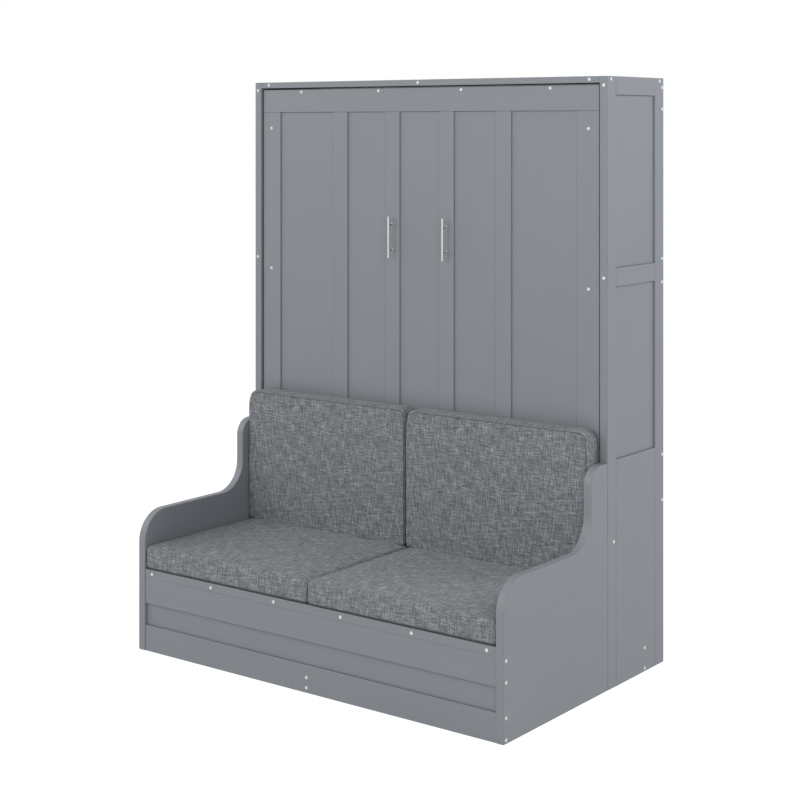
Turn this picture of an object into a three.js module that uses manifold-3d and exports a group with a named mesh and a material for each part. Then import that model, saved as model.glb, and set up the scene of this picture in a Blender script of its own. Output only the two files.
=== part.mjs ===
// Wall bed: a painted cabinet holds a double bed that stands on end behind its front face, and a
// two-seat sofa is built on in front. The bed turns down over the sofa about two pivot pins, gas struts
// carry its weight, and two flat legs swing out of the gap beside the frame to stand on the floor.
// Millimetres. +X is the viewer's right, +Y is the back of the cabinet and +Z is up.
// The origin is on the floor, in the middle of the footprint.
import * as THREE from "three";
import { mergeVertices } from "three/addons/utils/BufferGeometryUtils.js";
import Module from "manifold-3d";

const wasm = await Module();
wasm.setup();

// Cabinet
const cabinetWidth = 1690;
const cabinetHeight = 2200;
const cabinetDepth = 417;
const sideThickness = 33;
const frontStileDepth = 60;
const backStileDepth = 66;
const sideRailHeight = 67;
const midRailUnderside = 1441;
const lowerPanelHeight = 817;
const sidePanelRecess = 8;
const sidePanelThickness = 9;
const topBoardThickness = 24;
const backRailThickness = 22;
const topBackRailHeight = 111;
const midBackRailUnderside = 1412;
const midBackRailHeight = 132;
const lowBackRailUnderside = 589;
const lowBackRailHeight = 220;
const baseRailHeight = 100;
const baseRailFront = 259;

// Sofa
const armDepth = 670;
const armHeight = 813;
const armRiserDepth = 114;
const armLowHeight = 531;
const armNoseRadius = 115;
const armScoopRadius = 115;
const armShoulderRadius = 65;
const seatFrontInset = 3;
const seatBoardThickness = 18;
const seatBaseHeight = 99;
const seatRecessHeight = 84.5;
const seatRecessDepth = 9;
const seatHeight = 314;
const seatDeckThickness = 32;
const seatEdgeThickness = 12;
const seatDeckBackGap = 5;
const seatRearGap = 20;

// Bed face
const faceSideGap = 7;
const faceTopGap = 7;
const faceRecess = 8;
const faceBoardThickness = 19;
const battenThickness = 6;
const faceRailHeight = 93;
const faceStileWidth = 92;
const battenWidth = 69;
const innerBattenCentre = 130;
const outerBattenCentre = 392;

// Bed frame behind the face
const bedPivotBack = 44;
const bedPivotHeight = 525;
const bedLowerEnd = 197;
const bedRailInset = 22;
const bedRailThickness = 18;
const bedRailDepth = 123;
const bedEndRailThickness = 20;
const bedRailTopStep = 2;
const ledgeWidth = 20;
const ledgeDepth = 39;
const beamWidth = 44;
const slatThickness = 12;
const slatWidth = 70;
const slatPitch = 136;
const slatEndClearance = 3;
const strapWidth = 25;
const strapThickness = 1.5;
const strapInset = 240;

// Bed pivots
const pivotPinRadius = 8;
const pivotClearance = 0.5;
const pivotFlangeRadius = 16;
const pivotFlangeThickness = 4;
const bedPlateThickness = 6;
const bedPlateHalfWidth = 16;

// Gas struts
const strutArmLength = 150;
const strutArmAngle = 5;
const strutTopBack = 375;
const strutTopHeight = 1000;
const strutTubeRadius = 9;
const strutTubeBore = 7.4;
const strutTubeLength = 400;
const strutTubeNeck = 14;
const strutEndWall = 8;
const strutRodRadius = 4;
const strutRodClearance = 0.4;
const strutPistonRadius = 6.9;
const strutPistonLength = 12;
const strutPistonInset = 60;
const strutEyeRadius = 11;
const strutEyeThickness = 9;
const strutPinRadius = 4.5;
const strutBracketHeight = 70;
const strutBracketWidth = 44;
const strutBracketThickness = 4;
const openPinGap = 0.6;

// Folding legs
const legPivotBack = 75;
const legPivotDrop = 79;
const legThickness = 5;
const legWidth = 40;
const legSideGap = 1;
const legFloorGap = 1;
const legBossRadius = 9;
const legBossGap = 0.3;

// Handles
const handleCentreHeight = 1583.5;
const handleLength = 163;
const handleBarRadius = 5;
const handleStandoff = 25;
const handlePostRadius = 4;
const handlePostInset = 33.5;

// Cushions
const seatCushionGap = 4;
const seatCushionSideGap = 6;
const seatCushionTop = 406;
const seatCushionOverhang = 2;
const seatCushionEdgeRadius = 16;
const seatCushionCrown = 6;
const backCushionSideGap = 12.5;
const backCushionSplit = 15;
const backCushionHeight = 528;
const backCushionThickness = 78;
const backCushionBackGap = 2;
const backCushionEdgeRadius = 12;
const backCushionCrown = 6;
const cushionDrawIn = 4;
const restGap = 0.3;

// How finely round shapes are cut, and how the cushions' grids are spaced
const arcSegments = 12;
const roundSides = 16;
const longCells = 12;
const thickCells = 4;
const roundingShares = [0, 0.586, 1];
const crownPower = 4;

// Places that follow from the sizes above. Y counts from the front face of the cabinet's posts.
const innerHalf = cabinetWidth / 2 - sideThickness;
const outerHalf = cabinetWidth / 2;
const postFrontY = (armDepth - cabinetDepth) / 2;
const backStileFront = cabinetDepth - backStileDepth;
const topRailUnderside = cabinetHeight - sideRailHeight;
const midRailTop = midRailUnderside + sideRailHeight;
const topBoardUnderside = cabinetHeight - topBoardThickness;
const backRailY = [cabinetDepth - backRailThickness, cabinetDepth];
const faceHalf = innerHalf - faceSideGap;
const faceTop = topBoardUnderside - faceTopGap;
const faceBack = faceRecess + faceBoardThickness;
const facePanelFront = faceRecess + battenThickness;
const faceFieldZ = [bedLowerEnd + faceRailHeight, faceTop - faceRailHeight];
const faceFieldHalf = faceHalf - faceStileWidth;
const bedRailOuter = faceHalf - bedRailInset;
const bedRailInner = bedRailOuter - bedRailThickness;
const bedFrameTop = faceTop - bedRailTopStep;
const bedFrameZ = [bedLowerEnd, bedFrameTop];
const slatFieldZ = [bedLowerEnd + bedEndRailThickness, bedFrameTop - bedEndRailThickness];
const slatFront = faceBack + ledgeDepth;
const seatDeckUnderside = seatHeight - seatDeckThickness;
const seatFrontY = seatFrontInset - armDepth;
const seatCushionBottom = seatHeight + restGap;
const seatCushionFront = seatFrontY - seatCushionOverhang;
const seatCushionDepth = -seatDeckBackGap - seatCushionFront;
const backCushionWidth = innerHalf - backCushionSideGap - backCushionSplit / 2;
const legPivotHeight = faceTop - legPivotDrop;
const strutX = (bedRailOuter + bedPlateThickness + innerHalf - strutBracketThickness) / 2;

// Materials, as the eye finds them: colour, roughness and metalness
function finish(color, roughness, metalness = 0) {
  return new THREE.MeshStandardMaterial({ color, roughness, metalness });
}
const paint = finish("#8b9195", 0.5);
const panelPaint = finish("#878d91", 0.5);
const bareWood = finish("#c9b48f", 0.7);
const steel = finish("#b9bcc0", 0.35, 1);
const blackSteel = finish("#26282b", 0.4, 0.6);
const satinSteel = finish("#d4d6d8", 0.3, 1);
const linen = finish("#77797c", 0.95);
const darkLinen = finish("#727477", 0.95);

// The sides of the object, seen from the front
const sides = [
  { word: "left", sign: -1 },
  { word: "right", sign: 1 },
];

// A span between two distances from the middle plane, on one side of it
function sideSpan(sign, near, far) {
  return sign > 0 ? [near, far] : [-far, -near];
}

// A span as wide on both sides of the middle plane
function middleSpan(half) {
  return [-half, half];
}

function named(name, geometry, material) {
  const mesh = new THREE.Mesh(geometry, material);
  mesh.name = name;
  return mesh;
}

// A board fills the box between three spans. Neighbours share their planes exactly.
function boardGeometry(x, y, z) {
  const geometry = new THREE.BoxGeometry(1, 1, 1);
  const at = geometry.attributes.position;
  for (let i = 0; i < at.count; i++) {
    const far = [at.getX(i), at.getY(i), at.getZ(i)].map((value) => (value > 0 ? 1 : 0));
    at.setXYZ(i, x[far[0]], y[far[1]], z[far[2]]);
  }
  return geometry;
}

function board(name, material, x, y, z) {
  return named(name, boardGeometry(x, y, z), material);
}

// An outline drawn in Y and Z, pushed out along X between the two ends of a span
function pushAlongX(outline, x) {
  const geometry = new THREE.ExtrudeGeometry(outline, {
    depth: 1,
    bevelEnabled: false,
    curveSegments: arcSegments,
  });
  const at = geometry.attributes.position;
  for (let i = 0; i < at.count; i++) {
    const end = at.getZ(i) > 0 ? 1 : 0;
    at.setXYZ(i, x[end], at.getX(i), at.getY(i));
  }
  return geometry;
}

function roundHole(y, z, radius) {
  const hole = new THREE.Path();
  hole.absarc(y, z, radius, 0, 2 * Math.PI, true);
  return hole;
}

function disc(y, z, radius) {
  const outline = new THREE.Shape();
  outline.absarc(y, z, radius, 0, 2 * Math.PI, false);
  return outline;
}

// A solid for joining and cutting, and back again
function solid(geometry) {
  const plain = geometry.clone();
  plain.deleteAttribute("normal");
  plain.deleteAttribute("uv");
  const merged = mergeVertices(plain);
  return new wasm.Manifold(
    new wasm.Mesh({
      numProp: 3,
      vertProperties: merged.attributes.position.array,
      triVerts: new Uint32Array(merged.index.array),
    }),
  );
}

function asGeometry(body) {
  const mesh = body.getMesh();
  const geometry = new THREE.BufferGeometry();
  geometry.setAttribute("position", new THREE.BufferAttribute(mesh.vertProperties, 3));
  geometry.setIndex(new THREE.BufferAttribute(mesh.triVerts, 1));
  geometry.computeVertexNormals();
  return geometry;
}

function joined(...geometries) {
  const bodies = geometries.map(solid);
  return asGeometry(bodies.reduce((whole, body) => whole.add(body)));
}

// A round bar between two points on a line along one axis
function barAlong(axis, radius, span, across) {
  const length = span[1] - span[0];
  const geometry = new THREE.CylinderGeometry(radius, radius, length, roundSides);
  geometry.translate(0, (span[0] + span[1]) / 2, 0);
  if (axis === "x") geometry.rotateZ(-Math.PI / 2);
  if (axis === "z") geometry.rotateX(Math.PI / 2);
  geometry.translate(...across);
  return geometry;
}

// Cabinet sides: two stiles, two rails, two recessed panels and a flush lower panel each
function cabinetSide({ word, sign }) {
  const full = sideSpan(sign, innerHalf, outerHalf);
  const panelOuter = outerHalf - sidePanelRecess;
  const panel = sideSpan(sign, panelOuter - sidePanelThickness, panelOuter);
  const between = [frontStileDepth, backStileFront];
  return [
    board(`side_front_stile_${word}`, paint, full, [0, frontStileDepth], [0, cabinetHeight]),
    board(`side_back_stile_${word}`, paint, full, [backStileFront, cabinetDepth], [0, cabinetHeight]),
    board(`side_top_rail_${word}`, paint, full, between, [topRailUnderside, cabinetHeight]),
    board(`side_mid_rail_${word}`, paint, full, between, [midRailUnderside, midRailTop]),
    board(`side_upper_panel_${word}`, panelPaint, panel, between, [midRailTop, topRailUnderside]),
    board(`side_middle_panel_${word}`, panelPaint, panel, between, [lowerPanelHeight, midRailUnderside]),
    board(`side_lower_panel_${word}`, paint, full, between, [0, lowerPanelHeight]),
  ];
}

// Boards across the cabinet: the top, three rails at the open back and one behind the sofa
function cabinetCrossBoards() {
  const across = middleSpan(innerHalf);
  const midBack = [midBackRailUnderside, midBackRailUnderside + midBackRailHeight];
  const lowBack = [lowBackRailUnderside, lowBackRailUnderside + lowBackRailHeight];
  const base = [baseRailFront, baseRailFront + backRailThickness];
  const topBack = [topBoardUnderside - topBackRailHeight, topBoardUnderside];
  return [
    board("top_board", paint, across, [0, cabinetDepth], [topBoardUnderside, cabinetHeight]),
    board("back_rail_top", paint, across, backRailY, topBack),
    board("back_rail_middle", paint, across, backRailY, midBack),
    board("back_rail_low", paint, across, backRailY, lowBack),
    board("base_rail", paint, across, base, [0, baseRailHeight]),
  ];
}

// Sofa arm: a low front with a round nose, a scoop, and a raised shoulder at the post
function armOutline() {
  const outline = new THREE.Shape();
  const noseTop = armLowHeight - armNoseRadius;
  const shoulderY = armShoulderRadius - armRiserDepth;
  outline.moveTo(0, 0);
  outline.lineTo(0, armHeight);
  outline.lineTo(shoulderY, armHeight);
  outline.absarc(
    shoulderY, armHeight - armShoulderRadius, armShoulderRadius, Math.PI / 2, Math.PI, false);
  outline.absarc(
    -armRiserDepth - armScoopRadius, armLowHeight + armScoopRadius, armScoopRadius,
    0, -Math.PI / 2, true);
  outline.absarc(armNoseRadius - armDepth, noseTop, armNoseRadius, Math.PI / 2, Math.PI, false);
  outline.lineTo(-armDepth, 0);
  outline.closePath();
  return outline;
}

function arm({ word, sign }) {
  const across = sideSpan(sign, innerHalf, outerHalf);
  return named(`sofa_arm_${word}`, pushAlongX(armOutline(), across), paint);
}

// Sofa box: four boards in its front, the deck on top and a board behind
function sofaBox() {
  const across = middleSpan(innerHalf);
  const front = [seatFrontY, seatFrontY + seatBoardThickness];
  const recessed = front.map((y) => y + seatRecessDepth);
  const recessTop = seatBaseHeight + seatRecessHeight;
  const edgeBack = seatFrontY + seatEdgeThickness;
  const deckZ = [seatDeckUnderside, seatHeight];
  const rear = [-seatRearGap - seatBoardThickness, -seatRearGap];
  return [
    board("seat_base_board", paint, across, front, [0, seatBaseHeight]),
    board("seat_recess_board", panelPaint, across, recessed, [seatBaseHeight, recessTop]),
    board("seat_front_board", paint, across, front, [recessTop, seatDeckUnderside]),
    board("seat_edge_strip", paint, across, [seatFrontY, edgeBack], deckZ),
    board("seat_deck", paint, across, [edgeBack, -seatDeckBackGap], deckZ),
    board("seat_rear_board", bareWood, across, rear, [0, seatDeckUnderside]),
  ];
}

// Pivot pins: a flange on each post's inner face with the pin that the bed turns on
function pivotPin({ word, sign }) {
  const flangeInner = innerHalf - pivotFlangeThickness;
  const flange = pushAlongX(
    disc(bedPivotBack, bedPivotHeight, pivotFlangeRadius),
    sideSpan(sign, flangeInner, innerHalf),
  );
  const pinSpan = sideSpan(sign, bedRailOuter + restGap, innerHalf - pivotFlangeThickness / 2);
  const pin = barAlong("x", pivotPinRadius, pinSpan, [0, bedPivotBack, bedPivotHeight]);
  return named(`pivot_pin_${word}`, joined(flange, pin), steel);
}

// Bed pivot plates: a steel arm on each side rail, from the pivot hole to the strut's lower stud
function strutArmEnd() {
  const angle = THREE.MathUtils.degToRad(strutArmAngle);
  return new THREE.Vector2(
    bedPivotBack + strutArmLength * Math.sin(angle),
    bedPivotHeight - strutArmLength * Math.cos(angle),
  );
}

function bedPlate({ word, sign }) {
  const end = strutArmEnd();
  const angle = THREE.MathUtils.degToRad(strutArmAngle);
  const outline = new THREE.Shape();
  outline.absarc(bedPivotBack, bedPivotHeight, bedPlateHalfWidth, angle, angle + Math.PI, false);
  outline.absarc(end.x, end.y, bedPlateHalfWidth, angle + Math.PI, angle + 2 * Math.PI, false);
  outline.closePath();
  outline.holes.push(roundHole(bedPivotBack, bedPivotHeight, pivotPinRadius + pivotClearance));
  const plateOuter = bedRailOuter + bedPlateThickness;
  const plate = pushAlongX(outline, sideSpan(sign, bedRailOuter, plateOuter));
  const eyeFace = strutX - strutEyeThickness / 2;
  const studSpan = sideSpan(sign, plateOuter - bedPlateThickness / 2, eyeFace - openPinGap);
  const stud = barAlong("x", strutPinRadius, studSpan, [0, end.x, end.y]);
  return named(`bed_pivot_plate_${word}`, joined(plate, stud), blackSteel);
}

// Bed face: a top and a bottom rail, two stiles, four battens and the panel behind them
function bedFace() {
  const faceY = [faceRecess, faceBack];
  const battenY = [faceRecess, facePanelFront];
  const panelY = [facePanelFront, faceBack];
  const pieces = [
    board("face_top_rail", paint, middleSpan(faceHalf), faceY, [faceFieldZ[1], faceTop]),
    board("face_bottom_rail", paint, middleSpan(faceHalf), faceY, [bedLowerEnd, faceFieldZ[0]]),
    board("face_panel", panelPaint, middleSpan(faceFieldHalf), panelY, faceFieldZ),
  ];
  const battens = { inner: innerBattenCentre, outer: outerBattenCentre };
  for (const { word, sign } of sides) {
    const stile = sideSpan(sign, faceFieldHalf, faceHalf);
    pieces.push(board(`face_stile_${word}`, paint, stile, faceY, faceFieldZ));
    for (const [place, centre] of Object.entries(battens)) {
      const across = sideSpan(sign, centre - battenWidth / 2, centre + battenWidth / 2);
      pieces.push(board(`face_batten_${place}_${word}`, paint, across, battenY, faceFieldZ));
    }
  }
  return pieces;
}

// Bed side rails: an upright wall outside the mattress and a ledge inside it for the slats
function bedSideRail({ word, sign }) {
  const wall = boardGeometry(
    sideSpan(sign, bedRailInner, bedRailOuter), [faceBack, faceBack + bedRailDepth], bedFrameZ);
  const ledge = boardGeometry(
    sideSpan(sign, bedRailInner - ledgeWidth, bedRailInner + bedRailThickness / 2),
    [faceBack, slatFront],
    slatFieldZ,
  );
  return named(`bed_side_rail_${word}`, joined(wall, ledge), paint);
}

// Bed frame across: a rail at each end, a beam under the slats, and slats held by two straps
function bedFrameAcross() {
  const across = middleSpan(bedRailInner);
  const railY = [faceBack, faceBack + bedRailDepth];
  const headZ = [bedLowerEnd, slatFieldZ[0]];
  const footZ = [slatFieldZ[1], bedFrameTop];
  return [
    board("bed_head_rail", paint, across, railY, headZ),
    board("bed_foot_rail", paint, across, railY, footZ),
    board("bed_centre_beam", bareWood, middleSpan(beamWidth / 2), [faceBack, slatFront], slatFieldZ),
    slatBase(),
  ];
}

function slatBase() {
  const half = bedRailInner - slatEndClearance;
  const slatY = [slatFront, slatFront + slatThickness];
  const fieldLength = slatFieldZ[1] - slatFieldZ[0];
  const count = Math.floor((fieldLength - slatWidth) / slatPitch) + 1;
  const firstSlat = slatFieldZ[0] + (fieldLength - slatWidth - (count - 1) * slatPitch) / 2;
  const pieces = [];
  for (let i = 0; i < count; i++) {
    const low = firstSlat + i * slatPitch;
    pieces.push(boardGeometry(middleSpan(half), slatY, [low, low + slatWidth]));
  }
  const strapZ = [firstSlat, firstSlat + (count - 1) * slatPitch + slatWidth];
  const strapY = [slatY[1] - strapThickness / 2, slatY[1] + strapThickness / 2];
  for (const { sign } of sides) {
    const strapX = sideSpan(sign, half - strapInset - strapWidth, half - strapInset);
    pieces.push(boardGeometry(strapX, strapY, strapZ));
  }
  return named("slat_base", joined(...pieces), bareWood);
}

// Bar handles: a straight bar on two posts, in the middle of each inner batten
function handle({ word, sign }) {
  const x = sign * innerBattenCentre;
  const barY = faceRecess - handleStandoff;
  const half = handleLength / 2;
  const ends = [handleCentreHeight - half, handleCentreHeight + half];
  const bar = barAlong("z", handleBarRadius, ends, [x, barY, 0]);
  const posts = [ends[0] + handlePostInset, ends[1] - handlePostInset].map((z) =>
    barAlong("y", handlePostRadius, [barY, faceRecess], [x, 0, z]),
  );
  return named(`handle_${word}`, joined(bar, ...posts), satinSteel);
}

// Folding legs: a flat bar beside the frame, hung at its top and long enough to reach the floor
function leg({ word, sign }) {
  const reach = bedPivotHeight + legPivotBack - bedPivotBack - legFloorGap;
  const half = legWidth / 2;
  const outline = new THREE.Shape();
  outline.moveTo(legPivotBack - half, legPivotHeight - reach);
  outline.lineTo(legPivotBack + half, legPivotHeight - reach);
  outline.absarc(legPivotBack, legPivotHeight, half, 0, Math.PI, false);
  outline.closePath();
  const legOuter = innerHalf - legSideGap;
  const legInner = legOuter - legThickness;
  const bar = pushAlongX(outline, sideSpan(sign, legInner, legOuter));
  const bossSpan = sideSpan(sign, bedRailOuter + legBossGap, legInner + legThickness / 2);
  const boss = barAlong("x", legBossRadius, bossSpan, [0, legPivotBack, legPivotHeight]);
  return named(`leg_${word}`, joined(bar, boss), blackSteel);
}

// Strut brackets: a plate on each back stile with the pin that the strut hangs from
function strutBracket({ word, sign }) {
  const halfWidth = strutBracketWidth / 2;
  const halfHeight = strutBracketHeight / 2;
  const plateInner = innerHalf - strutBracketThickness;
  const plate = boardGeometry(
    sideSpan(sign, plateInner, innerHalf),
    [strutTopBack - halfWidth, strutTopBack + halfWidth],
    [strutTopHeight - halfHeight, strutTopHeight + halfHeight],
  );
  const pinSpan = sideSpan(
    sign, strutX - strutEyeThickness, plateInner + strutBracketThickness / 2);
  const pin = barAlong("x", strutPinRadius, pinSpan, [0, strutTopBack, strutTopHeight]);
  return named(`strut_bracket_${word}`, joined(plate, pin), blackSteel);
}

// A closed profile, turned about the strut's own axis, that hangs down from the upper eye
function turned(points) {
  const profile = points.map(([radius, drop]) => new THREE.Vector2(radius, -drop));
  const geometry = new THREE.LatheGeometry(profile.reverse(), roundSides);
  geometry.rotateX(Math.PI / 2);
  return geometry;
}

// An eye with its hole along X, at some drop below the upper pin
function strutEye(drop) {
  const outline = disc(0, -drop, strutEyeRadius);
  outline.holes.push(roundHole(0, -drop, strutPinRadius + strutRodClearance));
  return pushAlongX(outline, middleSpan(strutEyeThickness / 2));
}

// Gas strut: its group hangs from the bracket's pin and is turned to point at the plate's stud
function gasStrut({ word, sign }) {
  const end = strutArmEnd();
  const reach = Math.hypot(strutTopBack - end.x, strutTopHeight - end.y);
  const tubeEnd = strutTubeNeck + strutTubeLength;
  const neckStart = strutEyeRadius - strutRodClearance;
  const boreStart = strutTubeNeck + strutEndWall;
  const boreEnd = tubeEnd - strutEndWall;
  const rodBore = strutRodRadius + strutRodClearance;
  const tube = turned([
    [0, neckStart],
    [strutRodRadius, neckStart],
    [strutRodRadius, strutTubeNeck],
    [strutTubeRadius, strutTubeNeck],
    [strutTubeRadius, tubeEnd],
    [rodBore, tubeEnd],
    [rodBore, boreEnd],
    [strutTubeBore, boreEnd],
    [strutTubeBore, boreStart],
    [0, boreStart],
  ]);
  const pistonEnd = boreEnd - strutPistonInset;
  const rod = turned([
    [0, pistonEnd - strutPistonLength],
    [strutPistonRadius, pistonEnd - strutPistonLength],
    [strutPistonRadius, pistonEnd],
    [strutRodRadius, pistonEnd],
    [strutRodRadius, reach - neckStart],
    [0, reach - neckStart],
  ]);
  const strut = new THREE.Group();
  strut.position.set(sign * strutX, strutTopBack, strutTopHeight);
  strut.rotation.x = -Math.atan2(strutTopBack - end.x, strutTopHeight - end.y);
  strut.add(named(`strut_tube_${word}`, joined(tube, strutEye(0)), blackSteel));
  strut.add(named(`strut_rod_${word}`, joined(rod, strutEye(reach)), satinSteel));
  return strut;
}

// Grid lines along one direction of a cushion: close together in its rounded edges, even between them
function gridLines(half, radius, cells) {
  const edge = roundingShares.map((share) => -half + share * radius);
  const inner = cells - 2 * (edge.length - 1);
  const step = (2 * (half - radius)) / inner;
  const middle = [];
  for (let i = 1; i < inner; i++) middle.push(-half + radius + i * step);
  return [...edge, ...middle, ...edge.map((value) => -value).reverse()];
}

// How far a cushion's crown has risen, from 0 at its edge to 1 in its middle
function crownShare(acrossShare, alongShare) {
  return (1 - acrossShare ** crownPower) * (1 - alongShare ** crownPower);
}

// Cushion: flat below, crowned above, with rounded edges and sides that draw in between its corners.
// It lies in its own frame with its middle at the origin of X and Y, and its flat side on z = 0.
// One that stands on its near edge keeps that edge straight.
function cushionGeometry(width, depth, thickness, radius, crown, stands) {
  const half = [width / 2, depth / 2, (thickness - crown) / 2];
  const round = Math.min(radius, half[2]);
  const geometry = new THREE.BoxGeometry(1, 1, 1, longCells, longCells, thickCells);
  const cells = [longCells, longCells, thickCells];
  const lines = half.map((value, axis) => gridLines(value, round, cells[axis]));
  const at = geometry.attributes.position;
  for (let i = 0; i < at.count; i++) {
    const cell = [at.getX(i), at.getY(i), at.getZ(i)].map((value, axis) =>
      Math.round((value + 1 / 2) * cells[axis]),
    );
    const point = new THREE.Vector3(...lines.map((line, axis) => line[cell[axis]]));
    const core = new THREE.Vector3(
      ...half.map((value, axis) => {
        const limit = value - round;
        return THREE.MathUtils.clamp(point.getComponent(axis), -limit, limit);
      }),
    );
    const outward = point.clone().sub(core).setLength(round);
    point.copy(core).add(outward);
    const across = point.x / half[0];
    const along = point.y / half[1];
    const rise = (point.z / half[2] + 1) / 2;
    point.x -= cushionDrawIn * across * (1 - along ** 2);
    if (along > 0 || !stands) point.y -= cushionDrawIn * along * (1 - across ** 2);
    point.z += half[2] + crown * crownShare(across, along) * rise;
    at.setXYZ(i, point.x, point.y, point.z);
  }
  geometry.computeVertexNormals();
  return geometry;
}

// Seat cushions lie on the deck between the arms
function seatCushion({ word, sign }) {
  const width = innerHalf - seatCushionSideGap - seatCushionGap / 2;
  const geometry = cushionGeometry(
    width, seatCushionDepth, seatCushionTop - seatCushionBottom, seatCushionEdgeRadius,
    seatCushionCrown, false);
  const cushion = named(`seat_cushion_${word}`, geometry, linen);
  cushion.position.set(
    sign * (seatCushionGap + width) / 2, seatCushionFront + seatCushionDepth / 2, seatCushionBottom);
  return cushion;
}

// Back cushions stand on the seat cushions, where these dip behind their crown, and turn their
// flat side to the bed's face
function backCushionFoot() {
  const flatStart = backCushionBackGap + backCushionThickness - backCushionEdgeRadius;
  const alongShare = 1 - (flatStart - seatDeckBackGap) / (seatCushionDepth / 2);
  const dip = seatCushionCrown * (1 - crownShare(0, alongShare));
  return seatCushionTop - dip + restGap;
}

function backCushion({ word, sign }) {
  const geometry = cushionGeometry(
    backCushionWidth, backCushionHeight, backCushionThickness, backCushionEdgeRadius,
    backCushionCrown, true);
  const cushion = named(`back_cushion_${word}`, geometry, darkLinen);
  cushion.rotation.x = Math.PI / 2;
  cushion.position.set(
    sign * (backCushionSplit + backCushionWidth) / 2,
    -backCushionBackGap,
    backCushionFoot() + backCushionHeight / 2,
  );
  return cushion;
}

const cabinet = new THREE.Group();
cabinet.add(...sides.flatMap(cabinetSide), ...cabinetCrossBoards());
cabinet.add(...sides.map(pivotPin), ...sides.map(strutBracket));

const sofa = new THREE.Group();
sofa.add(...sides.map(arm), ...sofaBox());
sofa.add(...sides.map(seatCushion), ...sides.map(backCushion));

const bed = new THREE.Group();
bed.add(...bedFace(), ...sides.map(bedSideRail), ...bedFrameAcross());
bed.add(...sides.map(bedPlate), ...sides.map(handle), ...sides.map(leg));

const wallBed = new THREE.Group();
wallBed.add(cabinet, sofa, bed, ...sides.map(gasStrut));
wallBed.position.y = postFrontY;

export default wallBed;
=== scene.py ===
import math

import bpy
from bpy.props import FloatProperty, FloatVectorProperty, IntProperty, PointerProperty
from mathutils import Matrix, Vector, noise


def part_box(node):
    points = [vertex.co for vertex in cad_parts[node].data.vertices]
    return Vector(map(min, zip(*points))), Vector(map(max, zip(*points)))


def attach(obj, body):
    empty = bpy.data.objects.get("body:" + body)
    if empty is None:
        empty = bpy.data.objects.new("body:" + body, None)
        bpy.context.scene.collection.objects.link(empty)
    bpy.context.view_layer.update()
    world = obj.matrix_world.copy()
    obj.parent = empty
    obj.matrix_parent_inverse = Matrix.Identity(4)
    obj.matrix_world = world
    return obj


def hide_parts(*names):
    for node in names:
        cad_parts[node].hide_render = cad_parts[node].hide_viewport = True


# Wall bed with a sofa in front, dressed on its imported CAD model. Metres, +Y is the cabinet's back.
bl_info = {
    "name": "Wall bed with sofa",
    "version": (1, 0, 0),
    "blender": (4, 5, 0),
    "location": "3D View > Sidebar > Wall bed",
    "description": "Painted boards, steel fittings, cushions and a studio for a wall bed",
    "category": "Object",
}

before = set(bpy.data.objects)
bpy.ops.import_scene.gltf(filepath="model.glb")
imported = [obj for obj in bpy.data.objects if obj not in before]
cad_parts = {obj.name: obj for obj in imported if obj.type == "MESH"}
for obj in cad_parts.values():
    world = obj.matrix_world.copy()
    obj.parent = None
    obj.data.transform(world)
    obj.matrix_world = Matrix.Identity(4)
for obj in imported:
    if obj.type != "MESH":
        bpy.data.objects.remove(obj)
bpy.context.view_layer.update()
SIDES = {"left": -1, "right": 1}
# Two places nearer than this, in metres, are one place
SAME_PLACE = 1e-5
# Edges flatter than this are shaded smooth
SMOOTH_ANGLE = math.radians(50)


def linear(hex_colour):
    """An sRGB hex colour as linear red, green and blue."""
    shares = [int(hex_colour[i : i + 2], 16) / 255 for i in (1, 3, 5)]
    return tuple(s / 12.92 if s <= 0.04045 else ((s + 0.055) / 1.055) ** 2.4 for s in shares)


def opaque(colour):
    """A colour with full alpha, as a socket takes it."""
    return (*colour[:3], 1.0)


# Settings that a user would change


class PaintSettings(bpy.types.PropertyGroup):
    board_colour: FloatVectorProperty(
        name="Board colour",
        description="Colour of the lacquered boards",
        default=linear("#8a8f95"),
        subtype="COLOR",
    )
    board_ease: FloatProperty(
        name="Board easing",
        description="Radius of the sanded edges of the boards",
        default=0.0018,
        unit="LENGTH",
    )
    post_ease: FloatProperty(
        name="Post easing",
        description="Radius of the sanded edges of the stiles at the cabinet's corners",
        default=0.0025,
        unit="LENGTH",
    )
    arm_ease: FloatProperty(
        name="Arm easing",
        description="Radius of the rounded edges of the sofa's arms",
        default=0.0035,
        unit="LENGTH",
    )


class HardwareSettings(bpy.types.PropertyGroup):
    cap_diameter: FloatProperty(
        name="Screw cap diameter",
        description="Diameter of the plastic caps over the screws",
        default=0.0125,
        unit="LENGTH",
    )
    cap_height: FloatProperty(
        name="Screw cap height",
        description="How far a cap stands off its board",
        default=0.0014,
        unit="LENGTH",
    )
    cap_colour: FloatVectorProperty(
        name="Screw cap colour",
        description="Colour of the plastic caps",
        default=linear("#f0f1f2"),
        subtype="COLOR",
    )


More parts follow.
